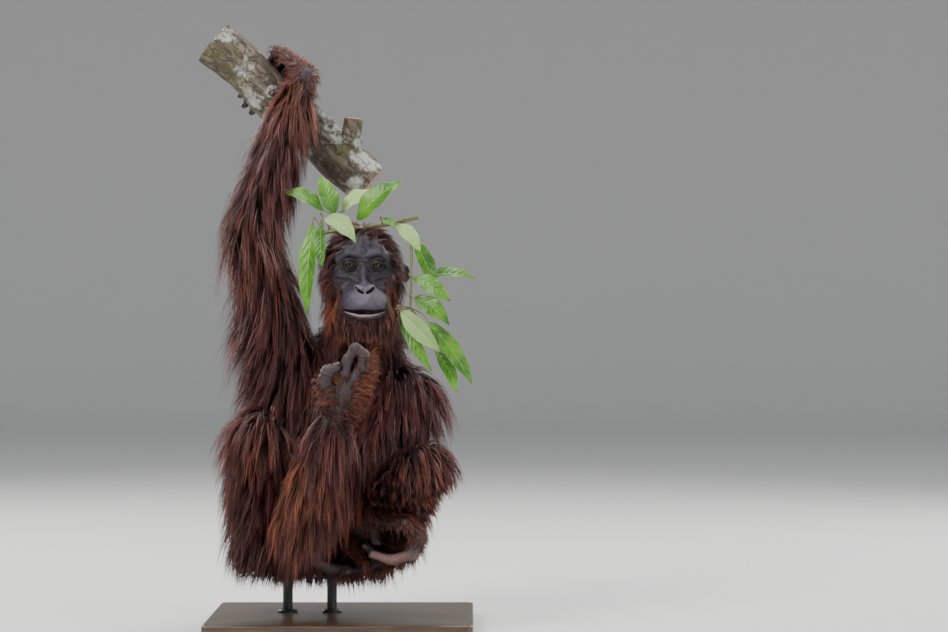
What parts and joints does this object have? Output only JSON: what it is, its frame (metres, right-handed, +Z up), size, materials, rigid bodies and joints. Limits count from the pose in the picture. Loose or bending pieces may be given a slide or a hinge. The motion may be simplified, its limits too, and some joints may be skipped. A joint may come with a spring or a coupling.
{
  "type": "orangutan model",
  "caption": "Life-size still model of a long-haired orangutan hanging from a short branch by one raised hand, a leafy twig on its head, on a flat base with short rods.",
  "frame": {"origin": "centre of the underside of the display base", "axes": "+Z up, +X toward the animal's left hand side as it faces the viewer, -Y toward the viewer, so that the face looks along -Y"},
  "size_m": [0.5558, 0.6279, 1.2014],
  "materials": {
    "coat": "long shaggy dark red-brown hair, wet, with paler tips",
    "face_skin": "bare dark grey wrinkled skin, slightly moist",
    "hand_skin": "bare grey wrinkled skin",
    "eye": "wet dark brown eye",
    "bark": "rough grey-brown bark with pale lichen",
    "twig": "smooth thin green-brown bark",
    "leaf_top": "fresh leaf, satin upper face with side veins",
    "leaf_pale": "pale matt underside of a fresh leaf",
    "stand_wood": "dark satin lacquered wood",
    "stand_metal": "satin black paint"
  },
  "bodies": {
    "root": {"head": "face_skin", "right_eye": "eye", "left_eye": "eye", "right_ear": "face_skin", "left_ear": "face_skin", "neck": "coat", "chest": "coat", "belly": "coat", "pelvis": "coat", "right_upper_arm": "coat", "right_forearm": "coat", "right_hand": "hand_skin", "left_upper_arm": "coat", "left_forearm": "coat", "left_hand": "hand_skin", "right_thigh": "coat", "right_shin": "coat", "right_foot": "hand_skin", "left_thigh": "coat", "left_shin": "coat", "left_foot": "hand_skin", "perch_branch": "bark", "hat_twig": "twig", "leaf_01": "leaf_top", "leaf_02": "leaf_pale", "leaf_03": "leaf_top", "leaf_04": "leaf_top", "leaf_05": "leaf_pale", "leaf_06": "leaf_top", "leaf_07": "leaf_top", "leaf_08": "leaf_top", "leaf_09": "leaf_pale", "leaf_10": "leaf_top", "leaf_11": "leaf_top", "leaf_12": "leaf_top", "leaf_13": "leaf_top", "leaf_14": "leaf_pale", "leaf_15": "leaf_top", "leaf_16": "leaf_top", "leaf_17": "leaf_top", "stand_base": "stand_wood", "stand_rod_1": "stand_metal", "stand_rod_2": "stand_metal"}
  },
  "joints": []
}
